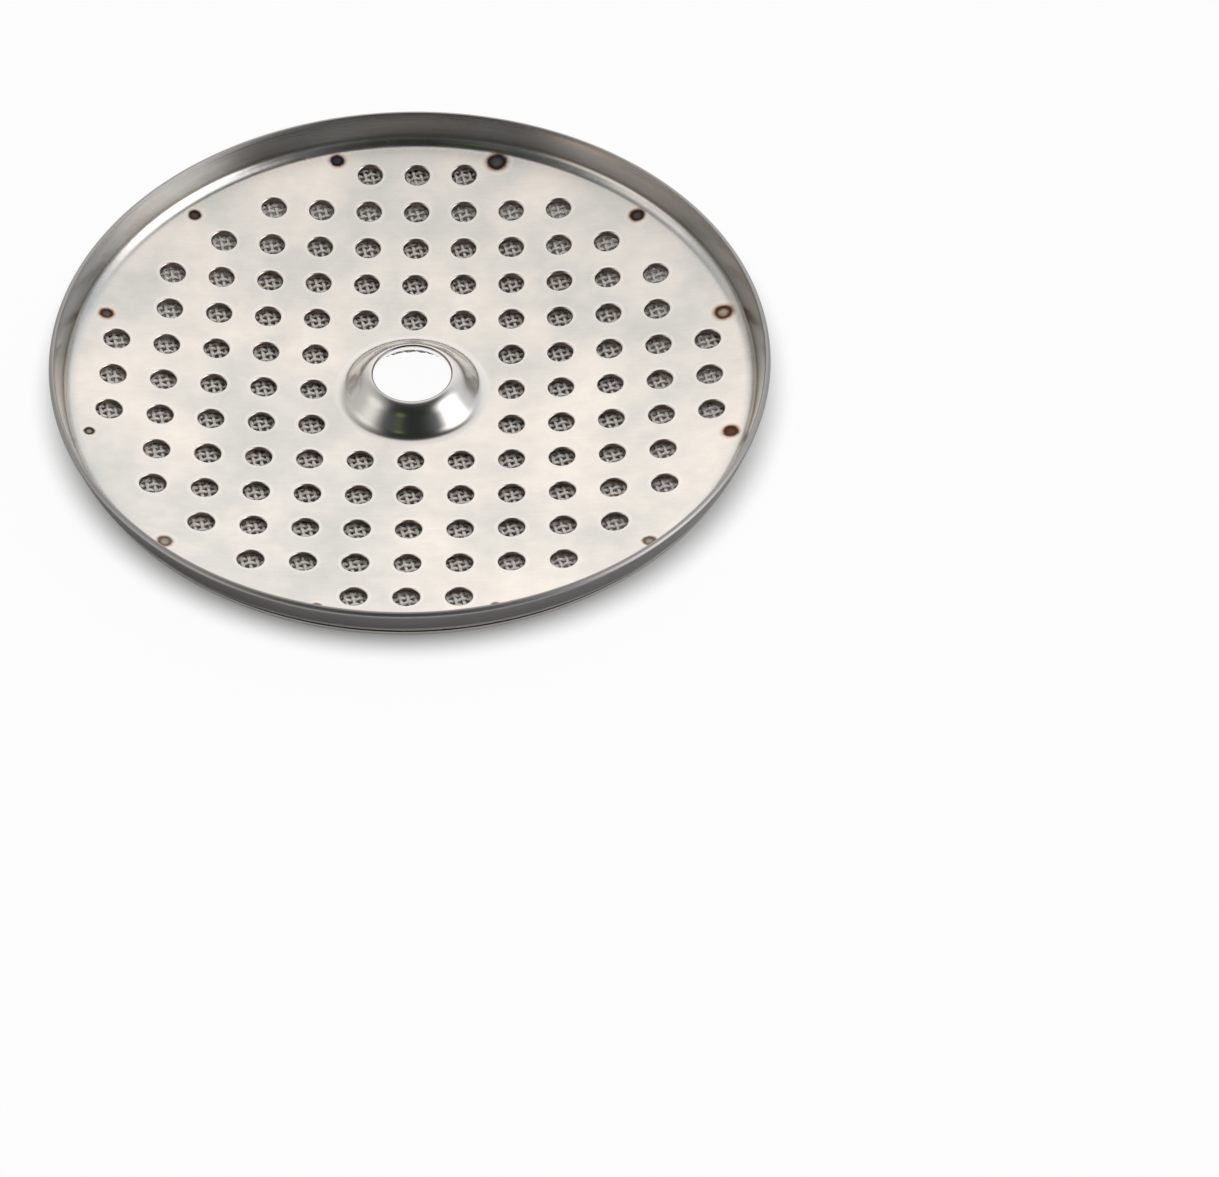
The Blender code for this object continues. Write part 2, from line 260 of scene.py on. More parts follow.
@dataclass(frozen=True)
class WeldCircle:
    """The circle of spot welds through cup, mesh and ring, anticlockwise from the first behind +X."""

    radius: float = 26.3 * MM
    marks: tuple[WeldMark, ...] = (
        WeldMark(0.76, 0.0, 0.8, BRIGHT_CORE, BROWN_RING),
        WeldMark(0.64, 0.0, 0.7, DARK_CORE, BLACK_RING),
        WeldMark(0.86, 0.1, 0.7, SLATE_CORE, BLACK_RING),
        WeldMark(0.60, 0.0, 0.9, BLUE_CORE, BLACK_RING),
        WeldMark(0.54, 0.1, 0.4, DARK_CORE, BLACK_RING),
        WeldMark(0.54, 0.4, 1.0, SLATE_CORE, BROWN_RING),
        WeldMark(0.42, 0.1, 0.4, FAINT_CORE, BLACK_RING),
        WeldMark(0.60, -0.2, 0.4, FAINT_CORE, FAINT_RING),
        WeldMark(0.44, 0.1, 0.3, FAINT_CORE, FAINT_RING),
        WeldMark(0.44, 0.1, 0.3, FAINT_CORE, FAINT_RING),
        WeldMark(0.52, -0.1, 0.4, FAINT_CORE, FAINT_RING),
        WeldMark(0.64, 0.0, 0.7, RUST_CORE, BROWN_RING),
    )

    @property
    def step(self) -> float:
        """Angle from one weld to the next."""
        return 2 * math.pi / len(self.marks)

    def centres(self) -> list[Point]:
        """List the centres of the welds."""
        places = [(self.radius - mark.inward * MM, index) for index, mark in enumerate(self.marks)]
        return [polar((0.0, 0.0), radius, (index + 0.5) * self.step) for radius, index in places]


def polar(centre: Point, radius: float, angle: float) -> Point:
    """Point at a radius and an angle from a centre."""
    return (centre[0] + radius * math.cos(angle), centre[1] + radius * math.sin(angle))


def arc(centre: Point, radius: float, first: float, last: float, steps: int) -> list[Point]:
    """Points of an arc, both ends included."""
    return [polar(centre, radius, first + (last - first) * step / steps) for step in range(steps + 1)]


def spin_profile(bm: bmesh.types.BMesh, profile: list[Point], steps: int, closed: bool = False) -> None:
    """Turn a profile of (radius, height) points about the Z axis.

    Args:
        bm: the mesh that takes the turned faces.
        profile: the points, in order.
        steps: faces round the axis.
        closed: whether the last point joins the first.
    """
    verts = [bm.verts.new((radius, 0.0, height)) for radius, height in profile]
    pairs = list(zip(verts, verts[1:]))
    if closed:
        pairs.append((verts[-1], verts[0]))
    edges = [bm.edges.new(pair) for pair in pairs]
    bmesh.ops.spin(
        bm,
        geom=verts + edges,
        cent=(0.0, 0.0, 0.0),
        axis=(0.0, 0.0, 1.0),
        dvec=(0.0, 0.0, 0.0),
        angle=2 * math.pi,
        steps=steps,
        use_merge=True,
        use_duplicate=False,
    )


def add_piece(name: str, bm: bmesh.types.BMesh) -> bpy.types.Object:
    """Turn a finished bmesh into a smooth-shaded object at the origin.

    Args:
        name: the object's name.
        bm: the finished mesh, freed here.

    Returns:
        The new object.
    """
    mesh = bpy.data.meshes.new(name)
    bm.to_mesh(mesh)
    bm.free()
    mesh.shade_smooth()
    mesh.set_sharp_from_angle(angle=SHARP_ANGLE)
    obj = bpy.data.objects.new(name, mesh)
    bpy.context.scene.collection.objects.link(obj)
    return obj


class Value:
    """A number in a node tree, whose operators add Math nodes."""

    def __init__(self, tree: "Graph", socket: Any) -> None:
        """Keep the tree and the socket or the plain number."""
        self.tree = tree
        self.socket = socket

    def math(self, operation: str, *others: Any) -> "Value":
        """Add a Math node of this value and up to two others."""
        return self.tree.math(operation, self, *others)

    def __add__(self, other: Any) -> "Value":
        """Sum."""
        return self.math("ADD", other)

    def __radd__(self, other: Any) -> "Value":
        """Sum with a plain number on the left."""
        return self.math("ADD", other)

    def __sub__(self, other: Any) -> "Value":
        """Difference."""
        return self.math("SUBTRACT", other)

    def __rsub__(self, other: Any) -> "Value":
        """Difference from a plain number."""
        return self.tree.math("SUBTRACT", other, self)

    def __mul__(self, other: Any) -> "Value":
        """Product."""
        return self.math("MULTIPLY", other)

    def __rmul__(self, other: Any) -> "Value":
        """Product with a plain number on the left."""
        return self.math("MULTIPLY", other)

    def __truediv__(self, other: Any) -> "Value":
        """Quotient."""
        return self.math("DIVIDE", other)

    def hypot(self, other: "Value") -> "Value":
        """Length of the vector of two values."""
        return (self * self + other * other).math("SQRT")

    def clamp(self) -> "Value":
        """Keep the value between 0 and 1."""
        return self.math("MINIMUM", 1.0).math("MAXIMUM", 0.0)

    def step(self, low: float, high: float) -> "Value":
        """Rise smoothly from 0 at low to 1 at high, or fall where high is less than low."""
        rising = high > low
        ends = {"From Min": min(low, high), "From Max": max(low, high)}
        ends.update({"To Min": 0.0 if rising else 1.0, "To Max": 1.0 if rising else 0.0})
        settings = {"interpolation_type": "SMOOTHSTEP"}
        node = self.tree.node("ShaderNodeMapRange", settings, {"Value": self, **ends})
        return Value(self.tree, node.outputs["Result"])


Named = dict[str, Value]


class Graph:
    """A node tree that is written as expressions."""

    def __init__(self, tree: bpy.types.NodeTree) -> None:
        """Clear the tree and keep it."""
        tree.nodes.clear()
        self.tree = tree

    def node(self, kind: str, settings: dict[str, Any], inputs: dict[Any, Any]) -> bpy.types.Node:
        """Add any node.

        Args:
            kind: the node's type.
            settings: properties, set before the sockets.
            inputs: values or links by socket name or number.

        Returns:
            The node.
        """
        node = self.tree.nodes.new(kind)
        for name, value in settings.items():
            if name == "stops":
                self.set_stops(node, value)
            else:
                setattr(node, name, value)
        for name, value in inputs.items():
            if isinstance(value, Value):
                value = value.socket
            if isinstance(value, bpy.types.NodeSocket):
                self.tree.links.new(value, node.inputs[name])
            else:
                node.inputs[name].default_value = value
        return node

    @staticmethod
    def set_stops(node: bpy.types.Node, stops: list[tuple[float, Colour]]) -> None:
        """Give a colour ramp its stops."""
        elements = node.color_ramp.elements
        while len(elements) < len(stops):
            elements.new(1.0)
        for element, (place, colour) in zip(elements, stops):
            element.position = place
            element.color = (*colour, 1.0)

    def math(self, operation: str, *terms: Any) -> Value:
        """Add a Math node of the terms."""
        node = self.node("ShaderNodeMath", {"operation": operation}, dict(enumerate(terms)))
        return Value(self, node.outputs[0])

    def mix(self, factor: Any, first: Any, second: Any) -> Any:
        """Mix two colours.

        Args:
            factor: share of the second.
            first: a colour or a colour link.
            second: a colour or a colour link.

        Returns:
            The mixed colour's socket.
        """
        ends = {6: self.solid(first), 7: self.solid(second)}
        node = self.node("ShaderNodeMix", {"data_type": "RGBA"}, {0: factor, **ends})
        return node.outputs[2]

    def multiply(self, colour: Any, value: Value) -> Any:
        """Multiply a colour by a number."""
        settings = {"data_type": "RGBA", "blend_type": "MULTIPLY"}
        grey = self.node("ShaderNodeCombineColor", {}, {0: value, 1: value, 2: value}).outputs[0]
        node = self.node("ShaderNodeMix", settings, {0: 1.0, 6: self.solid(colour), 7: grey})
        return node.outputs[2]

    @staticmethod
    def solid(colour: Any) -> Any:
        """A plain colour with alpha, or the link as it is."""
        return (*colour, 1.0) if isinstance(colour, tuple) and len(colour) == 3 else colour

    def place(self) -> tuple[Value, Value, Value, Any]:
        """The object coordinates in millimetres.

        Returns:
            X, Y and Z as values, and the vector's socket.
        """
        coordinates = self.node("ShaderNodeTexCoord", {}, {}).outputs["Object"]
        inputs = {0: coordinates, "Scale": 1 / MM}
        scaled = self.node("ShaderNodeVectorMath", {"operation": "SCALE"}, inputs)
        parts = self.node("ShaderNodeSeparateXYZ", {}, {0: scaled.outputs[0]})
        x, y, z = (Value(self, parts.outputs[index]) for index in range(3))
        return x, y, z, scaled.outputs[0]

    def pick(self, share: Value, colours: list[Colour]) -> Any:
        """Pick one of a list of colours by a value from 0 to 1.

        Args:
            share: the value, in which each colour has an equal part.
            colours: the colours, in order.

        Returns:
            The colour's socket.
        """
        stops = [(index / len(colours), colour) for index, colour in enumerate(colours)]
        node = self.node("ShaderNodeValToRGB", {"stops": stops}, {0: share})
        node.color_ramp.interpolation = "CONSTANT"
        return node.outputs[0]

    def split(self, colour: Any) -> list[Value]:
        """The three channels of a colour as values."""
        node = self.node("ShaderNodeSeparateColor", {}, {0: colour})
        return [Value(self, node.outputs[index]) for index in range(3)]

    def vector(self, x: Any, y: Any, z: Any) -> Any:
        """A vector of three values."""
        return self.node("ShaderNodeCombineXYZ", {}, {0: x, 1: y, 2: z}).outputs[0]

    def noise(self, vector: Any, scale: float, detail: float = 2.0, roughness: float = 0.5) -> Value:
        """Noise from 0 to 1 over a vector in millimetres."""
        inputs = {"Vector": vector, "Scale": scale, "Detail": detail, "Roughness": roughness}
        return Value(self, self.node("ShaderNodeTexNoise", {}, inputs).outputs[0])

    def bump(self, height: Value, distance: float, strength: float = 1.0) -> Any:
        """A normal from a height in millimetres of relief."""
        inputs = {"Height": height, "Distance": distance * MM, "Strength": strength}
        return self.node("ShaderNodeBump", {}, inputs).outputs[0]


def new_graph(name: str) -> tuple[bpy.types.Material, Graph]:
    """Make an empty material and its graph."""
    material = bpy.data.materials.new(name)
    material.use_nodes = True
    return material, Graph(material.node_tree)


def steel_output(graph: Graph, colour: Any, roughness: Any, normal: Any, metallic: Any = 1.0) -> None:
    """Close a graph with a metal shader.

    Args:
        graph: the material's graph.
        colour: base colour.
        roughness: roughness.
        normal: normal link.
        metallic: metallic value.
    """
    inputs = {"Base Color": graph.solid(colour), "Roughness": roughness, "Metallic": metallic}
    shader = graph.node("ShaderNodeBsdfPrincipled", {}, {**inputs, "Normal": normal})
    graph.node("ShaderNodeOutputMaterial", {}, {"Surface": shader.outputs[0]})


@dataclass(frozen=True)
class CupFinish:
    """Drawn stainless sheet: satin floor, polished cone, darker wall, tinted weld marks, painted light and
    shade.
    """

    section: Section
    grid: HoleGrid
    welds: WeldCircle
    floor_warm: Colour = (0.90, 0.84, 0.775)
    floor_cool: Colour = (0.78, 0.78, 0.745)
    cone: Colour = (0.80, 0.78, 0.745)
    wall: Colour = (0.56, 0.565, 0.555)
    wall_brown: Colour = (0.50, 0.47, 0.44)
    # Painted reflection: a warm, lighter patch high on the inner wall at one angle round the axis.
    wall_painted_reflection: Colour = (0.66, 0.53, 0.45)
    # Painted reflection: the darker blue-grey of the wall seen in the bend.
    bend: Colour = (0.46, 0.50, 0.53)
    # Painted shade: a dark line in the concave corner at the wall's foot.
    corner: Colour = (0.17, 0.165, 0.13)
    # Painted shade: the outer wall painted dark, as it looks when it reflects the shadowed floor.
    outside: Colour = (0.34, 0.325, 0.33)
    # Painted shade: the rim's rounded top painted dark in place of its bright reflection.
    rim: Colour = (0.42, 0.41, 0.40)
    # Painted shade: a dark line round the screw hole's rounded edge, for the shaded hole wall.
    screw_edge_painted_shade: Colour = (0.13, 0.12, 0.11)
    # Painted light: the screw hole's wall painted near white, as if lit, though it lies in shade.
    bore_painted_light: Colour = (0.96, 0.95, 0.94)
    # Painted shade: the punched holes' walls painted dark brown, for the shade inside the holes.
    hole_wall_painted_shade: Colour = (0.25, 0.165, 0.12)
    # Painted highlight: a light ring round each hole where the punched lip catches light.
    hole_painted_highlight: Colour = (0.95, 0.92, 0.88)
    weld_tan: Colour = (0.50, 0.26, 0.12)
    weld_lip: Colour = (0.97, 0.94, 0.88)
    # Angle round the axis of the painted reflection patch on the inner wall.
    reflection_angle: float = 1.06

    def material(self) -> bpy.types.Material:
        """Build the material."""
        material, graph = new_graph("cup_stainless")
        x, y, z, place = graph.place()
        radius = x.hypot(y)
        angle = y.math("ARCTAN2", x)
        clouds = self.clouds(graph, x, y, z, place)
        clouds["lines"] = graph.noise(graph.vector(angle * 6.0, radius * 5.0, z * 9.0), 1.0, 5.0, 0.65)
        clouds["patches"] = graph.noise(graph.vector(angle * 2.2, 0.0, z * 0.35), 1.3, 3.0, 0.6)
        zones = self.zones(x, y, z, radius)
        colour = self.floor_colour(graph, clouds, zones)
        wall, outside = self.wall_colours(graph, clouds, angle, z)
        # Layers of painted shade (corner, outside, rim, screw, hole) and painted light (bore, halo), mixed in
        # by zone.
        layers = (
            ("wall", 1.0, wall),
            ("corner", 0.6, self.corner),
            ("outside", 1.0, outside),
            ("rim", 1.0, self.rim),
            ("bore_painted_light", 1.0, self.bore_painted_light),
            ("screw", 0.85, self.screw_edge_painted_shade),
            ("halo", 0.4, self.hole_painted_highlight),
            ("hole", 1.0, self.hole_wall_painted_shade),
        )
        for zone, strength, tint in layers:
            colour = graph.mix(zones[zone] * strength, colour, tint)
        colour, burn = self.burnt(graph, colour, radius, angle, place, zones["upper"])
        rough = self.roughness(clouds, zones, burn)
        steel_output(graph, colour, rough, graph.bump(self.relief(clouds, zones), 0.012))
        return material

    def floor_colour(self, graph: Graph, clouds: Named, zones: Named) -> Any:
        """Colour of the rolled floor and the polished cone, with a painted reflection, a darker blue-grey, on
        the bend.

        Args:
            graph: the material's graph.
            clouds: the sheet's noises.
            zones: the sheet's masks.

        Returns:
            The colour's socket.
        """
        broad, fine = clouds["broad"], clouds["fine"] - 0.5
        tone = broad.step(0.34, 0.66) * 0.75 + fine * 0.9 + 0.12
        floor = graph.mix(tone.clamp(), self.floor_cool, self.floor_warm)
        shade = 0.97 + (clouds["grain"] - 0.5) * 0.10 + (clouds["speck"] - 0.5) * 0.05
        floor = graph.multiply(floor, shade + fine * 0.16 + (broad - 0.5) * 0.45)
        floor = graph.mix(zones["cone"], floor, self.cone)
        # Painted reflection: a quarter share of darker blue-grey over the bend.
        return graph.mix(zones["bend"] * 0.25, floor, self.bend)

    def wall_colours(self, graph: Graph, clouds: Named, angle: Value, z: Value) -> tuple[Any, Any]:
        """Colours of the drawn wall: painted shade towards its foot and a painted reflection, a reddish
        lighter patch, high on its inner side.

        Args:
            graph: the material's graph.
            clouds: the sheet's noises.
            angle: angle round the axis.
            z: height in millimetres.

        Returns:
            The inner and the outer side's colour; the outer side's is dark painted shade.
        """
        foot = self.foot_height
        lines, patches = clouds["lines"] - 0.5, clouds["patches"]
        # Painted shade: the inner wall darkens towards its foot.
        corner = z.step(foot + 1.2, foot - 0.1) * 0.35
        wall = graph.mix(patches.step(0.42, 0.68), self.wall, self.wall_brown)
        wall = graph.multiply(wall, 1.0 - corner + lines * 0.30 + (patches - 0.5) * 0.35)
        # Painted reflection: a warm, lighter patch high on the inner wall at one angle round the axis.
        reflection_patch = ((angle - self.reflection_angle) * 5.0).math("ABSOLUTE").step(1.0, 0.2)
        reflection_patch = reflection_patch * z.step(foot + 0.9, foot + 1.7)
        wall = graph.mix(reflection_patch * 0.8, wall, self.wall_painted_reflection)
        # Painted shade: the outer side darkens further towards its foot.
        low = z.step(foot + 1.4, foot - 0.6) * 0.35
        outside = graph.multiply(self.outside, 1.0 - low + lines * 0.45 + (patches - 0.5) * 0.3)
        return wall, outside

    @staticmethod
    def roughness(clouds: Named, zones: Named, burn: Value) -> Value:
        """Roughness of the sheet: satin floor, smoother cone and wall, dull burns."""
        wall, cone = zones["wall"], zones["cone"]
        rough = 0.30 + (clouds["grain"] - 0.5) * 0.08 + (clouds["fine"] - 0.5) * 0.10
        rough = rough * (1 - cone) + cone * (0.20 + (clouds["speck"] - 0.5) * 0.04)
        rough = rough * (1 - wall) + wall * (0.20 + (clouds["lines"] - 0.5) * 0.12)
        return rough * (1 - burn) + burn * 0.42 + zones["rim"] * 0.2 - zones["bend"] * 0.05

    @staticmethod
    def relief(clouds: Named, zones: Named) -> Value:
        """Relief of the sheet: rolling marks on the floor, drawing lines on the wall."""
        wall = zones["wall"]
        relief = (clouds["grain"] - 0.5) * 0.35 + (clouds["fine"] - 0.5) * 0.9
        relief = relief + (clouds["speck"] - 0.5) * 0.10
        return relief * (1 - wall) * (1 - zones["cone"] * 0.85) + wall * (clouds["lines"] - 0.5) * 0.4

    @property
    def foot_height(self) -> float:
        """Height of the wall's foot in millimetres."""
        centre = self.section.bend_centre
        return (centre[1] - self.section.bend_radius * math.sin(self.section.flare)) / MM

    @staticmethod
    def clouds(graph: Graph, x: Value, y: Value, z: Value, place: Any) -> Named:
        """The noises of the rolled sheet, by name."""
        return {
            "grain": graph.noise(graph.vector(x * 0.12, y * 1.6, z), 3.0, 4.0, 0.6),
            "broad": graph.noise(place, 0.11, 3.0, 0.55),
            "fine": graph.noise(place, 0.6, 4.0, 0.6),
            "speck": graph.noise(place, 9.0, 2.0, 0.6),
        }

    def zones(self, x: Value, y: Value, z: Value, radius: Value) -> Named:
        """Masks of the sheet's zones, by name."""
        part = self.section
        edge = part.dish_edge(0.0)[0] / MM
        top = part.rim_top / MM
        side = radius.step(edge - 0.2, edge + 0.2)
        wall = z.step(self.foot_height - 0.25, self.foot_height + 0.05) * side
        middle = part.wall_top / MM + 0.26 + (z - top) * math.tan(part.flare)
        dish = radius * radius / (2 * part.dish_radius / MM) + part.floor / MM
        cone_edge = part.boss_edge(0.0)[0] / MM
        pitch = self.grid.pitch / MM
        node_x = (x / pitch).math("ROUND") * pitch
        node_y = (y / pitch).math("ROUND") * pitch
        inner, outer = self.grid.inner_limit / MM, self.grid.outer_limit / MM
        node_radius = node_x.hypot(node_y)
        field = node_radius.step(outer + 0.05, outer) * node_radius.step(inner - 0.05, inner)
        from_hole = (x - node_x).hypot(y - node_y)
        hole = self.grid.radius / MM
        screw = part.screw_radius / MM
        tip = part.crown_centre[1] / MM + part.boss_crown / MM * math.cos(part.crown_slope)
        ring = (radius - screw - 0.06).math("ABSOLUTE").step(0.09, 0.03)
        return {
            "wall": wall,
            "bend": radius.step(edge - 0.25, edge + 0.25) * (1 - wall),
            "corner": (z - self.foot_height + 0.05).math("ABSOLUTE").step(0.24, 0.04) * side,
            "outside": (radius - middle).step(0.0, 0.10) * wall,
            "rim": z.step(top - 0.34, top - 0.12),
            "upper": 1 - (z - dish).step(-0.25, -0.40) * (1 - side),
            "cone": radius.step(cone_edge + 0.10, cone_edge - 0.30),
            "halo": from_hole.step(hole + 0.42, hole + 0.22) * field,
            "hole": from_hole.step(hole + 0.05, hole - 0.01) * field,
            "screw": ring * z.step(tip - 0.25, tip - 0.12),
            "bore_painted_light": radius.step(screw + 0.04, screw + 0.01),
        }

    def burnt(
        self, graph: Graph, colour: Any, radius: Value, angle: Value, place: Any, upper: Value
    ) -> tuple[Any, Value]:
        """Burn the weld marks into the colour.

        Args:
            graph: the material's graph.
            colour: the sheet's colour.
            radius: distance from the axis.
            angle: angle round the axis.
            place: object coordinates in millimetres.
            upper: mask of the cup's inner face.

        Returns:
            The colour and the mask of the burnt spots.
        """
        marks = self.welds.marks
        count = len(marks)
        share = (angle / (2 * math.pi) + 1.0).math("FRACT")
        sizes = graph.pick(share, [(mark.size, mark.inward, mark.halo) for mark in marks])
        size, inward, strength = graph.split(sizes)
        core = graph.pick(share, [mark.core for mark in marks])
        ring = graph.pick(share, [mark.ring for mark in marks])
        turn = ((share * count).math("FRACT") - 0.5) * self.welds.step
        weld_x = radius * turn.math("COSINE") - (self.welds.radius / MM - inward)
        weld_y = radius * turn.math("SINE")
        wobble = graph.noise(place, 1.3, 3.0, 0.7)
        reach = (weld_x.hypot(weld_y) + (wobble - 0.5) * 0.30) / size
        halo = reach.step(1.7, 0.95) * upper
        burn = reach.step(1.25, 0.80) * upper
        heart = reach.step(0.75, 0.25) * upper
        colour = graph.mix(reach.step(1.75, 1.45) * upper * 0.5, colour, self.weld_lip)
        colour = graph.mix(halo * strength * 0.75, colour, self.weld_tan)
        colour = graph.mix(burn, colour, ring)
        return graph.mix(heart * 0.85, colour, core), burn


@dataclass(frozen=True)
class WireFinish:
    """Stainless wire with a painted highlight along the middle of each wire and dark brown painted shade
    towards its edges.

    The spacings are those of warp and weft.
    """

    spacings: tuple[float, float]
    turn: float
    # Painted highlight colour along each wire's middle, then painted shade colour towards its edges.
    crown: Colour = (0.98, 0.96, 0.92)
    wire_edge_painted_shade: Colour = (0.34, 0.26, 0.21)
    bare: float = 0.1

    def material(self) -> bpy.types.Material:
        """Build the material."""
        material, graph = new_graph("mesh_stainless")
        x, y, _, place = graph.place()
        cosine, sine = math.cos(self.turn), math.sin(self.turn)
        along, over = x * cosine + y * sine, y * cosine - x * sine
        steps = (over / (self.spacings[0] / MM), along / (self.spacings[1] / MM))
        shares = [(step - step.math("ROUND")).math("ABSOLUTE") for step in steps]
        # Painted highlight along the middle of each wire, painted shade towards its edges.
        middle = shares[0].step(0.28, 0.18).math("MAXIMUM", shares[1].step(0.26, 0.14))
        cloud = graph.noise(place, 0.35, 3.0, 0.6)
        fine = graph.noise(place, 6.0, 3.0, 0.6)
        colour = graph.mix(middle, self.wire_edge_painted_shade, self.crown)
        colour = graph.multiply(colour, 0.95 + (fine - 0.5) * 0.30 + (cloud - 0.5) * 0.3)
        rough = 0.48 + (fine - 0.5) * 0.2
        steel_output(graph, colour, rough, graph.bump(fine, 0.006), self.bare)
        return material


@dataclass(frozen=True)
class RingFinish:
    """Satin pressed ring with faint tan smudges at the spot welds."""

    welds: WeldCircle
    pale: Colour = (0.76, 0.73, 0.69)
    cool: Colour = (0.66, 0.66, 0.63)
    smudge: Colour = (0.50, 0.36, 0.22)
    burnt: Colour = (0.12, 0.06, 0.035)

    def material(self) -> bpy.types.Material:
        """Build the material."""
        material, graph = new_graph("ring_stainless")
        x, y, z, place = graph.place()
        radius = x.hypot(y)
        angle = y.math("ARCTAN2", x)
        cloud = graph.noise(place, 0.16, 3.0, 0.55)
        grain = graph.noise(graph.vector(x * 1.4, y * 0.15, z), 4.0, 4.0, 0.6)
        colour = graph.mix(cloud.step(0.35, 0.65), self.pale, self.cool)
        colour = graph.multiply(colour, 0.95 + (grain - 0.5) * 0.16)
        step = self.welds.step
        turn = angle - ((angle / step).math("FLOOR") + 0.5) * step
        weld_x = radius * turn.math("COSINE") - self.welds.radius / MM
        weld_y = radius * turn.math("SINE")
        wobble = graph.noise(place, 1.2, 3.0, 0.7)
        reach = weld_x.hypot(weld_y) + (wobble - 0.5) * 1.1
        colour = graph.mix(reach.step(1.5, 0.3) * 0.6, colour, self.smudge)
        colour = graph.mix(reach.step(0.45, 0.12) * 0.8, colour, self.burnt)
        rough = 0.30 + (grain - 0.5) * 0.14
        pit = reach.step(0.7, 0.0) * -1.5
        steel_output(graph, colour, rough, graph.bump(pit + (grain - 0.5) * 0.4, 0.02))
        return material


@dataclass
class Cup:
    """The drawn and punched cup."""

    section: Section
    grid: HoleGrid
    welds: WeldCircle
    wall_steps: int = 288
    boss_steps: int = 96
    hole_steps: int = 28
    hole_rounding: float = 0.13 * MM
    lip_width: float = 0.16 * MM
    lip_height: float = 0.014 * MM
    level_ring: float = 0.05 * MM
    level_slack: float = 0.1 * MM
    boss_margin: float = 0.18 * MM
    screw_chamfer: float = 0.02 * MM
    punch_break: Point = (0.015 * MM, 0.07 * MM)
    punch_flare: float = 0.08 * MM
    crater_depth: float = 0.05 * MM
    crater_shape: tuple[Point, ...] = ((0.0, -0.8), (0.45, -1.0), (0.95, 0.1), (1.12, 0.22), (1.4, 0.0))
    web_step: float = 0.5 * MM
    weld_reach: float = 0.9 * MM
    weld_rings: int = 9

    def lifted(self, profile: Iterable[Point]) -> list[Point]:
        """Take the dish's own height off a profile, because the floor is lifted on to the dish last."""
        return [(radius, height - self.dish_lift(radius)) for radius, height in profile]

    def dish_lift(self, radius: float) -> float:
        """Height of the dish at a radius, level beyond the dish's edge."""
        return self.section.dish(min(radius, self.section.dish_edge(0.0)[0]))

    def wall_profile(self) -> list[Point]:
        """The wall from the dish's upper face, up the inside, over the rim and down to the lower face."""
        part = self.section
        sheet, flare = part.sheet, part.flare
        start = part.towards_dish(part.bend_centre)
        lip, rounding = part.lip_rounding, part.rim_rounding
        inner_centre = (part.wall_top + lip * math.tan((math.pi / 2 - flare) / 2), part.rim_top - lip)
        outer_centre = (part.rim_radius - rounding, part.rim_top - rounding)
        inside = arc(part.bend_centre, part.bend_radius, start, -flare, 10)
        outside = arc(part.bend_centre, part.bend_radius + sheet, -flare, start, 12)
        rim_in = arc(inner_centre, lip, math.pi - flare, math.pi / 2, 4)
        rim_out = arc(outer_centre, rounding, math.pi / 2, -flare, 10)
        return inside + rim_in + rim_out + outside

    def boss_profile(self) -> list[Point]:
        """The cone from the dish's upper face up to the screw hole, and back along the lower face."""
        part = self.section
        slope, sheet, hole = part.boss_slope, part.sheet, part.screw_radius
        foot_angle = -math.pi / 2 - slope
        dish_angle = part.towards_dish(part.boss_centre)
        upper = arc(part.boss_centre, part.boss_fillet, dish_angle, foot_angle, 12)
        top, edge = math.pi / 2 - part.crown_slope, part.screw_rounding
        crown = arc(part.crown_centre, part.boss_crown, math.pi / 2 - slope, top, 8)
        rounded = arc((hole + edge, crown[-1][1] - edge * math.sin(top)), edge, top, math.pi, 5)
        inner, outer = hole + self.screw_chamfer, part.crown_end(sheet)[0]
        below = [inner + (outer - inner) * step / 6 for step in range(7)]
        under = [(radius, part.height(radius, sheet)) for radius in below]
        hole_side = [(hole, under[0][1] + self.screw_chamfer)]
        lower = arc(part.boss_centre, part.boss_fillet + sheet, foot_angle, dish_angle, 12)
        near, far = upper[0][0] + self.boss_margin, lower[-1][0] + self.boss_margin
        start, end = (near, part.dish(near)), (far, part.dish(far) - sheet)
        return [start] + upper + crown + rounded[1:] + hole_side + under + lower + [end]

    def hole_profile(self) -> list[Point]:
        """A hole from the floor's upper face, over a lip and a rounded edge, to the lower face."""
        hole, edge, sheet = self.grid.radius, self.hole_rounding, self.section.sheet
        foot = hole + edge + self.lip_width
        lip = [(foot + self.level_ring, 0.0), (foot, 0.0)]
        lip.append((foot - self.lip_width * 0.5, self.lip_height * 0.6))
        centre = (hole + edge, self.lip_height - edge)
        rounded = arc(centre, edge, math.pi / 2, math.pi, 5)
        out, up = self.punch_break
        bottom = [(hole + out, -sheet + up), (hole + self.punch_flare, -sheet)]
        return lip + rounded + bottom

    def crater(self, x: float, y: float) -> float:
        """Depth of the nearest weld's shallow crater at a point of the floor.

        Args:
            x: the point's X.
            y: the point's Y.

        Returns:
            Zero away from the welds, negative in a crater, positive on its faint rim.
        """
        pairs = zip(self.welds.centres(), self.welds.marks)
        near = min(math.hypot(x - centre[0], y - centre[1]) / (mark.size * MM) for centre, mark in pairs)
        for (inner, low), (outer, high) in zip(self.crater_shape, self.crater_shape[1:]):
            if near <= outer:
                share = max(0.0, (near - inner) / (outer - inner))
                return self.crater_depth * (low + (high - low) * share * share * (3 - 2 * share))
        return 0.0

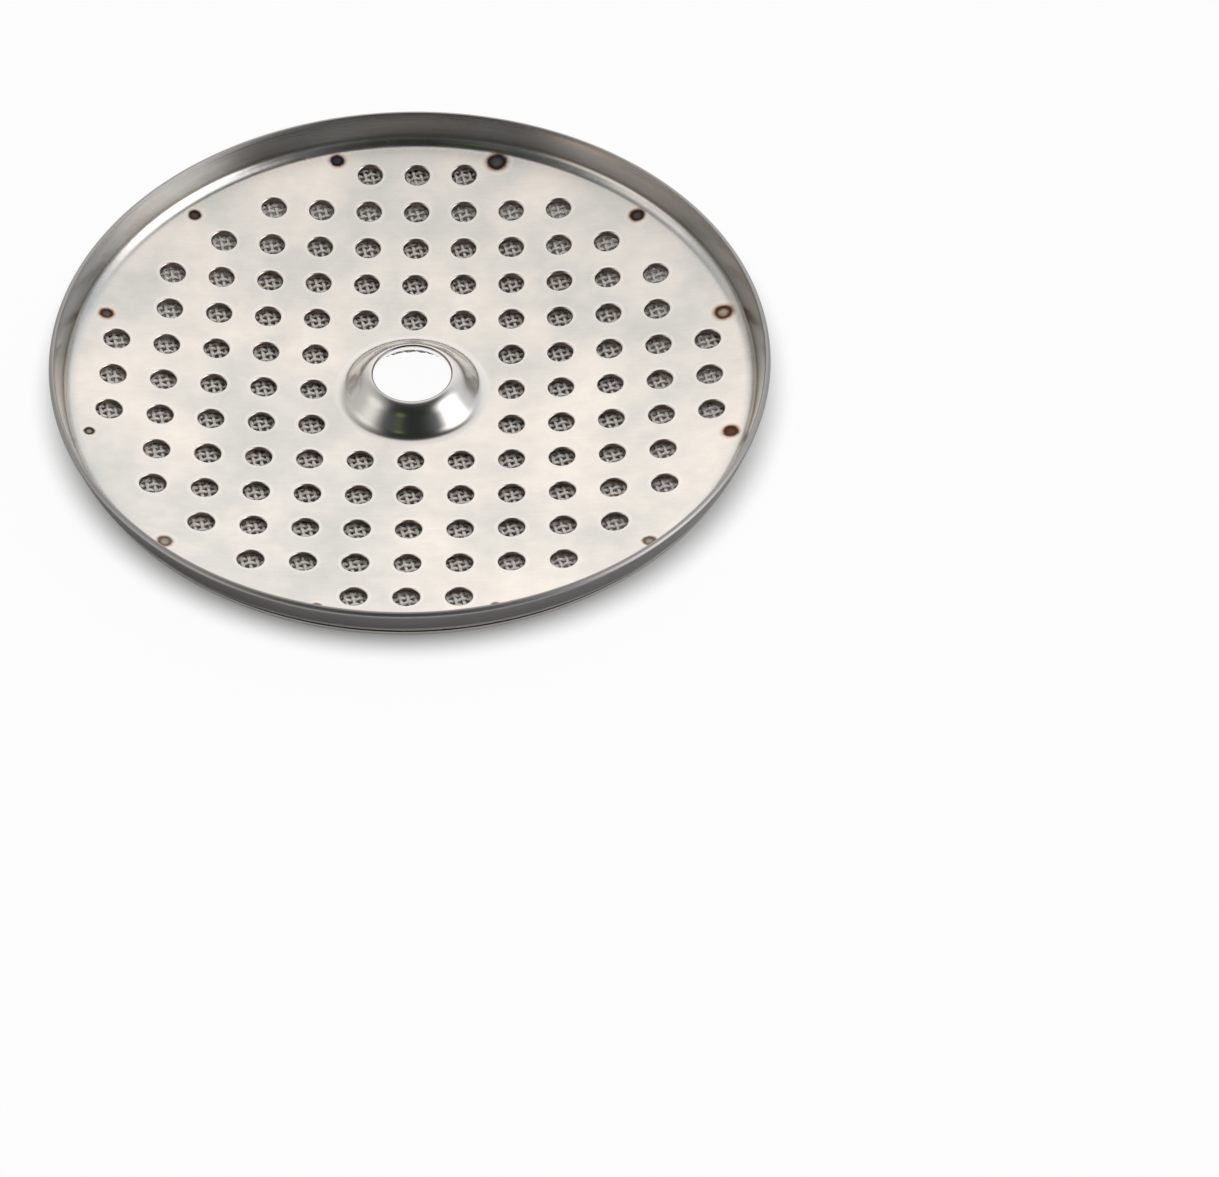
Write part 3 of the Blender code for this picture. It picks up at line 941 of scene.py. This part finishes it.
    def stamp(self, bm: bmesh.types.BMesh, profile: list[Point], steps: int, places: list[Point]) -> None:
        """Turn a small profile once and copy it to every place on the floor.

        Args:
            bm: the cup's mesh.
            profile: points about the place's own axis.
            steps: faces round that axis.
            places: the centres.
        """
        template = bmesh.new()
        spin_profile(template, profile, steps)
        mesh = bpy.data.meshes.new("template")
        template.to_mesh(mesh)
        template.free()
        for place in places:
            known = len(bm.verts)
            bm.from_mesh(mesh)
            bm.verts.ensure_lookup_table()
            bmesh.ops.translate(bm, verts=bm.verts[known:], vec=(*place, 0.0))
        bpy.data.meshes.remove(mesh)

    def web_points(self, spacing: float, margin: float) -> list[Point]:
        """Points that fill the floor evenly between its round edges, denser at the welds.

        Args:
            spacing: distance between the points.
            margin: distance kept from every round edge.

        Returns:
            The points.
        """
        inner = self.boss_profile()[0][0] + margin
        outer = self.section.dish_edge(0.0)[0] - margin
        holes = self.grid.centres()
        clear = self.hole_profile()[0][0] + margin
        row_step = spacing * math.sqrt(3) / 2
        rows = int(outer / row_step)
        spots = []
        for row in range(-rows, rows + 1):
            shift = spacing / 2 * (row % 2)
            columns = range(-int(outer / spacing) - 1, int(outer / spacing) + 1)
            spots += [(column * spacing + shift, row * row_step) for column in columns]
        welds = self.welds.centres()
        clearing = self.weld_reach + margin
        spots = [p for p in spots if all(math.dist(p, c) > clearing for c in welds)]
        for centre in welds:
            for ring in range(1, self.weld_rings + 1):
                count = 6 + 4 * ring
                reach = self.weld_reach * ring / self.weld_rings
                spots += [polar(centre, reach, 2 * math.pi * step / count) for step in range(count)]
        kept = []
        for spot in spots:
            nearest = min(holes, key=lambda centre: math.dist(spot, centre))
            if inner < math.hypot(*spot) < outer and math.dist(spot, nearest) > clear:
                kept.append(spot)
        return kept

    def fill_web(self, bm: bmesh.types.BMesh, level: float, spacing: float, hole: float, boss: float) -> None:
        """Fill one face of the floor between all the round edges that lie on its level.

        Args:
            bm: the cup's mesh.
            level: height of the face before it is lifted on to the dish.
            spacing: distance between the points of the fill.
            hole: radius of the holes' edges on this face.
            boss: radius of the cone's edge on this face.
        """
        near = 1e-6
        edges = [e for e in bm.edges if e.is_boundary and all(abs(v.co.z - level) < near for v in e.verts)]
        verts = list({v for e in edges for v in e.verts})
        order = {vert: number for number, vert in enumerate(verts)}
        links = [tuple(order[v] for v in e.verts) for e in edges]
        verts += [bm.verts.new((x, y, level)) for x, y in self.web_points(spacing, spacing * 0.45)]
        flat = [v.co.to_2d() for v in verts]
        _, _, faces, sources, _, _ = delaunay_2d_cdt(flat, links, [], 0, 1e-9)
        holes = self.grid.centres()
        open_hole = hole * math.cos(math.pi / self.hole_steps)
        open_boss = boss * math.cos(math.pi / self.boss_steps)
        for face in faces:
            corners = [verts[sources[number][0]] for number in face]
            middle = sum((v.co.to_2d() for v in corners), Vector((0.0, 0.0))) / 3
            nearest = min(math.dist(middle, centre) for centre in holes)
            if nearest > open_hole and middle.length > open_boss:
                bm.faces.new(corners)

    def build(self) -> bpy.types.Object:
        """Build the cup's mesh."""
        part = self.section
        bm = bmesh.new()
        spin_profile(bm, self.lifted(self.wall_profile()), self.wall_steps)
        self.level_edge(bm)
        boss_profile, hole_profile = self.boss_profile(), self.hole_profile()
        spin_profile(bm, self.lifted(boss_profile), self.boss_steps)
        self.stamp(bm, hole_profile, self.hole_steps, self.grid.centres())
        self.fill_web(bm, 0.0, self.web_step, hole_profile[0][0], boss_profile[0][0])
        self.fill_web(bm, -part.sheet, 3 * self.web_step, hole_profile[-1][0], boss_profile[-1][0])
        for vert in bm.verts:
            above = vert.co.z > -part.sheet / 2
            x, y = vert.co.x, vert.co.y
            vert.co.z += self.dish_lift(math.hypot(x, y)) + (self.crater(x, y) if above else 0.0)
        bmesh.ops.remove_doubles(bm, verts=bm.verts, dist=MERGE_DISTANCE)
        bmesh.ops.recalc_face_normals(bm, faces=bm.faces)
        return add_piece("cup_sheet", bm)

    def level_edge(self, bm: bmesh.types.BMesh) -> None:
        """Set the wall's lower edge level with the floor's lower face."""
        sheet = self.section.sheet
        for vert in bm.verts:
            if vert.is_boundary and abs(vert.co.z + sheet) < self.level_slack:
                vert.co.z = -sheet

    def dress(self) -> bpy.types.Object:
        """Build the cup, give it its finish and put it in the node's place."""
        cup = self.build()
        cup.data.materials.append(CupFinish(self.section, self.grid, self.welds).material())
        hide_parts("perforated_cup")
        return cup


@dataclass(frozen=True)
class Strand:
    """The wires of one direction: their spacing and width."""

    spacing: float
    width: float


@dataclass
class WovenMesh:
    """The disc of woven wire under the floor."""

    section: Section
    grid: HoleGrid
    warp: Strand = Strand(0.62 * MM, 0.36 * MM)
    weft: Strand = Strand(0.58 * MM, 0.31 * MM)
    turn: float = math.radians(13.0)
    wire_height: float = 0.17 * MM
    wire_upper: tuple[Point, ...] = ((0.5, 0.0), (0.3, 0.5), (-0.3, 0.5))
    crimp: float = 0.086 * MM
    depth: float = 0.72 * MM
    outer_radius: float = 26.55 * MM
    hole_radius: float = 3.9 * MM
    ragged: float = 0.05 * MM
    bulge: float = 0.16 * MM

    def runs(self, offset: float, chance: random.Random) -> list[Point]:
        """Stretches of one wire, as (start, end) along it.

        Args:
            offset: the wire's distance from the middle.
            chance: source of the ragged ends.

        Returns:
            One stretch, or two where the screw hole cuts the wire.
        """
        reach = math.sqrt(max(self.outer_radius**2 - offset**2, 0.0))
        reach -= chance.uniform(0.0, self.ragged)
        if reach < 2 * self.weft.spacing:
            return []
        if abs(offset) >= self.hole_radius:
            return [(-reach, reach)]
        gap = math.sqrt(self.hole_radius**2 - offset**2)
        before = -gap - chance.uniform(0.0, self.ragged)
        after = gap + chance.uniform(0.0, self.ragged)
        return [(-reach, before), (after, reach)]

    def path(self, offset: float, start: float, end: float, lay: Lay, index: int) -> list[Vector]:
        """Points along one stretch of wire.

        Args:
            offset: the wire's distance from the middle.
            start: where the stretch begins.
            end: where it ends.
            lay: the wire's direction.
            index: the wire's number, which sets over and under.

        Returns:
            The points in the model's frame.
        """
        across = lay is Lay.WEFT
        crossing = self.warp.spacing if across else self.weft.spacing
        first = math.ceil(2 * start / crossing)
        last = math.floor(2 * end / crossing - 1.0)
        inner = [(number + 0.5) * crossing / 2 for number in range(first, last + 1)]
        spots = [start] + inner + [end]
        phase = index + (1 if across else 0)
        cosine, sine = math.cos(self.turn), math.sin(self.turn)
        points = []
        for spot in spots:
            u, v = (offset, spot) if across else (spot, offset)
            x, y = u * cosine - v * sine, u * sine + v * cosine
            wave = self.crimp * (1 if (round(spot / crossing) + phase) % 2 else -1)
            height = self.section.height(math.hypot(x, y), self.depth)
            height += self.bulge * (1 - self.grid.share(x, y) ** 2)
            points.append(Vector((x, y, height + wave)))
        return points

    def sweep(self, bm: bmesh.types.BMesh, points: list[Vector], side: Vector, width: float) -> None:
        """Lay a flattened tube along the points.

        Args:
            bm: the mesh that takes it.
            points: the wire's path.
            side: level direction across the wire.
            width: the wire's width.
        """
        lower = tuple((-across, -above) for across, above in self.wire_upper)
        outline = self.wire_upper + lower + self.wire_upper[:1]
        count, sides = len(points), len(outline) - 1
        made = bmesh.ops.create_grid(bm, x_segments=count - 1, y_segments=sides, size=1.0)["verts"]
        for number, point in enumerate(points):
            ahead = points[min(number + 1, count - 1)] - points[max(number - 1, 0)]
            up = ahead.cross(side).normalized()
            for corner, (across, above) in enumerate(outline):
                reach = side * (across * width) + up * (above * self.wire_height)
                made[corner * count + number].co = point + reach

    def layer(self, lay: Lay) -> bpy.types.Object:
        """Build all wires of one direction."""
        chance = random.Random(lay.value)
        bm = bmesh.new()
        angle = self.turn + (0.0 if lay is Lay.WEFT else math.pi / 2)
        side = Vector((math.cos(angle), math.sin(angle), 0.0))
        strand = self.weft if lay is Lay.WEFT else self.warp
        reach = int(self.outer_radius / strand.spacing)
        for index in range(-reach, reach + 1):
            offset = index * strand.spacing
            for start, end in self.runs(offset, chance):
                self.sweep(bm, self.path(offset, start, end, lay, index), side, strand.width)
        bmesh.ops.remove_doubles(bm, verts=bm.verts, dist=MERGE_DISTANCE)
        bmesh.ops.holes_fill(bm, edges=[e for e in bm.edges if e.is_boundary], sides=0)
        bmesh.ops.recalc_face_normals(bm, faces=bm.faces)
        return add_piece(f"mesh_{lay.name.lower()}", bm)

    def dress(self) -> list[bpy.types.Object]:
        """Build warp and weft, give them their finish and put them in the node's place."""
        pieces = [self.layer(lay) for lay in Lay]
        finish = WireFinish((self.warp.spacing, self.weft.spacing), self.turn).material()
        for piece in pieces:
            piece.data.materials.append(finish)
            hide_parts("woven_mesh")
        return pieces


@dataclass
class Ring:
    """The pressed ring that holds the mesh's edge."""

    section: Section
    welds: WeldCircle
    outer_radius: float = 27.7 * MM
    inner_radius: float = 24.6 * MM
    flat_end: float = 26.64 * MM
    top_depth: float = 1.02 * MM
    edge_depth: float = 0.65 * MM
    thickness: float = 0.3 * MM
    corner: float = 0.05 * MM
    steps: int = 360

    def profile(self) -> list[Point]:
        """Closed outline of the ring, whose outer margin is pressed up round the bend."""
        radii = [self.inner_radius + (self.flat_end - self.inner_radius) * step / 4 for step in range(4)]
        radii += [self.flat_end + (self.outer_radius - self.flat_end) * step / 8 for step in range(9)]
        top = []
        for radius in radii:
            share = max(0.0, (radius - self.flat_end) / (self.outer_radius - self.flat_end))
            eased = share * share * (3 - 2 * share)
            depth = self.top_depth + (self.edge_depth - self.top_depth) * eased
            top.append((radius, self.section.height(radius, depth)))
        bottom = [(radius, height - self.thickness) for radius, height in top]
        return top + bottom[::-1]

    def build(self) -> bpy.types.Object:
        """Build the ring's mesh."""
        bm = bmesh.new()
        spin_profile(bm, self.profile(), self.steps, closed=True)
        bmesh.ops.recalc_face_normals(bm, faces=bm.faces)
        corners = [e for e in bm.edges if e.calc_face_angle(0.0) > math.radians(50.0)]
        bmesh.ops.bevel(
            bm, geom=corners, offset=self.corner, affect="EDGES", segments=2, profile=0.5, material=-1
        )
        return add_piece("ring_sheet", bm)

    def dress(self) -> bpy.types.Object:
        """Build the ring, give it its finish and put it in the node's place."""
        ring = self.build()
        ring.data.materials.append(RingFinish(self.welds).material())
        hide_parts("retaining_ring")
        return ring


@dataclass(frozen=True)
class SkyPatch:
    """One soft-edged patch of the tent, in degrees: azimuth from the camera's side towards +X."""

    azimuth: float
    elevation: float
    inner: float
    outer: float
    light: Colour

    def direction(self) -> Vector:
        """Unit vector towards the patch's middle."""
        azimuth, elevation = math.radians(self.azimuth), math.radians(self.elevation)
        level = math.cos(elevation)
        return Vector((math.sin(azimuth) * level, -math.cos(azimuth) * level, math.sin(elevation)))


TENT: tuple[SkyPatch, ...] = (
    SkyPatch(0.0, 35.0, 14.0, 48.0, (0.14, 0.155, 0.175)),
    SkyPatch(180.0, 26.0, 8.0, 58.0, (1.06, 1.04, 1.02)),
    SkyPatch(180.0, 66.0, 8.0, 24.0, (0.92, 0.90, 0.88)),
    SkyPatch(0.0, 3.0, 18.0, 34.0, (0.068, 0.068, 0.068)),
    SkyPatch(142.0, 36.0, 6.0, 24.0, (0.96, 0.96, 0.97)),
    SkyPatch(104.0, 28.0, 10.0, 40.0, (0.68, 0.69, 0.71)),
    SkyPatch(-100.0, 30.0, 10.0, 42.0, (0.62, 0.61, 0.60)),
    SkyPatch(-65.0, 9.0, 8.0, 27.0, (1.05, 0.99, 0.94)),
    SkyPatch(74.0, 17.0, 8.0, 26.0, (2.9, 2.8, 2.8)),
    SkyPatch(-87.0, 37.0, 5.0, 18.0, (1.0, 0.98, 0.97)),
    SkyPatch(83.0, 41.0, 4.0, 26.0, (1.9, 1.9, 1.9)),
    SkyPatch(-2.0, 58.0, 16.0, 39.0, (0.022, 0.024, 0.022)),
    SkyPatch(-27.0, 49.5, 1.0, 8.0, (0.20, 0.25, 0.11)),
)


@dataclass(frozen=True)
class Studio:
    """Plain pale floor, soft light and the camera.

    The shade, mirror and screw hole distances are radii on the floor in millimetres. Under the screw hole the
    floor is white, painted light where the disc's shadow would fall.
    """

    target: Vector
    floor_size: float = 6.0
    floor_grey: float = 0.82
    white_share: float = 0.96
    shade_start: float = 27.3
    shade_end: float = 31.3
    shade_shift: float = 3.0
    mirror_end: float = 75.0
    # Radius of the painted light on the floor under the screw hole.
    screw_hole_painted_light: float = 6.6
    screw_soft: float = 0.6
    dim_tent: Colour = (0.032, 0.034, 0.036)
    camera_elevation: float = math.radians(44.97)
    camera_azimuth: float = math.radians(2.31)
    camera_roll: float = math.radians(-1.80)
    camera_distance: float = 278.6 * MM
    focal_pixels: float = 3428.7
    target_pixel: Point = (412.6, 391.3)
    sensor_width: float = 36.0

    def camera(self) -> bpy.types.Object:
        """Place the camera so that the dish's middle falls on its pixel."""
        elevation, azimuth = self.camera_elevation, self.camera_azimuth
        level = math.cos(elevation)
        back = Vector((math.sin(azimuth) * level, -math.cos(azimuth) * level, math.sin(elevation)))
        right = Vector((math.cos(azimuth), math.sin(azimuth), 0.0))
        rolled = Matrix.Rotation(self.camera_roll, 3, back) @ right
        up = back.cross(rolled)
        ray = Vector((self.target_pixel[0] - IMAGE_WIDTH / 2, IMAGE_HEIGHT / 2 - self.target_pixel[1], 0.0))
        away = -Vector((ray.x / self.focal_pixels, ray.y / self.focal_pixels, -1.0)).normalized()
        across = Vector((0.0, 1.0, 0.0)).cross(away).normalized()
        above = away.cross(across)
        looking = Matrix((across, above, away)).transposed()
        facing = Matrix((rolled, up, back)).transposed()
        data = bpy.data.cameras.new("camera")
        data.sensor_width = self.sensor_width
        data.lens = self.focal_pixels * self.sensor_width / IMAGE_WIDTH
        data.clip_start = 0.01
        data.clip_end = 20.0
        camera = bpy.data.objects.new("camera", data)
        place = Matrix.Translation(self.target + back * self.camera_distance)
        camera.matrix_world = place @ (facing @ looking.transposed()).to_4x4()
        bpy.context.scene.collection.objects.link(camera)
        bpy.context.scene.camera = camera
        return camera

    def floor(self) -> bpy.types.Object:
        """Lay the floor, which shows nearly white to the camera and keeps the disc's shadow, except for
        painted light under the screw hole.
        """
        bm = bmesh.new()
        bmesh.ops.create_grid(bm, x_segments=4, y_segments=4, size=self.floor_size / 2)
        floor = add_piece("floor", bm)
        material, graph = new_graph("pale_floor")
        grey = self.floor_grey
        diffuse = graph.node("ShaderNodeBsdfDiffuse", {}, {"Color": (grey, grey, grey, 1.0)}).outputs[0]
        white = graph.node("ShaderNodeEmission", {}, {"Strength": 1.0}).outputs[0]
        x, y, _, _ = graph.place()
        radius = x.hypot(y)
        behind = x.hypot(y - self.shade_shift)
        # Painted light: the floor stays white under the screw hole, where the disc's shadow would fall.
        hole = radius.step(self.screw_hole_painted_light, self.screw_hole_painted_light - self.screw_soft)
        clear = behind.step(self.shade_start, self.shade_end) + hole
        path = graph.node("ShaderNodeLightPath", {}, {})
        seen = Value(graph, path.outputs["Is Camera Ray"]) * clear
        around = radius.step(self.shade_start, self.mirror_end) + hole
        mirrored = Value(graph, path.outputs["Is Glossy Ray"]) * around
        share = (seen + mirrored) * self.white_share
        shader = graph.node("ShaderNodeMixShader", {}, {0: share, 1: diffuse, 2: white})
        graph.node("ShaderNodeOutputMaterial", {}, {"Surface": shader.outputs[0]})
        floor.data.materials.append(material)
        return floor

    def world(self) -> None:
        """Light the tent patch by patch: bright behind the disc, dim on the camera's side."""
        world = bpy.data.worlds.new("studio")
        world.use_nodes = True
        bpy.context.scene.world = world
        graph = Graph(world.node_tree)
        towards = graph.node("ShaderNodeTexCoord", {}, {}).outputs["Generated"]
        light: Any = self.dim_tent
        for patch in TENT:
            pair = {0: towards, 1: patch.direction()}
            near = graph.node("ShaderNodeVectorMath", {"operation": "DOT_PRODUCT"}, pair)
            ends = math.cos(math.radians(patch.outer)), math.cos(math.radians(patch.inner))
            share = Value(graph, near.outputs["Value"]).step(*ends)
            light = graph.mix(share, light, patch.light)
        seen = Value(graph, graph.node("ShaderNodeLightPath", {}, {}).outputs["Is Camera Ray"])
        light = graph.mix(seen, light, (1.0, 1.0, 1.0))
        background = graph.node("ShaderNodeBackground", {}, {"Color": light}).outputs[0]
        graph.node("ShaderNodeOutputWorld", {}, {"Surface": background})


def report(pieces: Iterable[bpy.types.Object], body: str) -> None:
    """Let the pieces ride on a body and report each one."""
    for piece in pieces:
        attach(piece, body)
        LOG.info("%s: %d faces", piece.name, len(piece.data.polygons))


def main() -> None:
    """Build the stage and every piece in order."""
    logging.basicConfig(level=logging.INFO, format="%(name)s %(message)s")
    body = next(iter(frame["bodies"]))
    _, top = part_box("perforated_cup")
    section = Section(rim_radius=top.x, rim_top=top.z)
    studio = Studio(target=Vector((0.0, 0.0, section.floor)))
    studio.camera()
    studio.floor()
    studio.world()
    grid, welds = HoleGrid(), WeldCircle()
    report([Cup(section, grid, welds).dress()], body)
    report(WovenMesh(section, grid).dress(), body)
    report([Ring(section, welds).dress()], body)
    bpy.context.scene.view_settings.view_transform = "Standard"


if __name__ == "__main__":
    main()
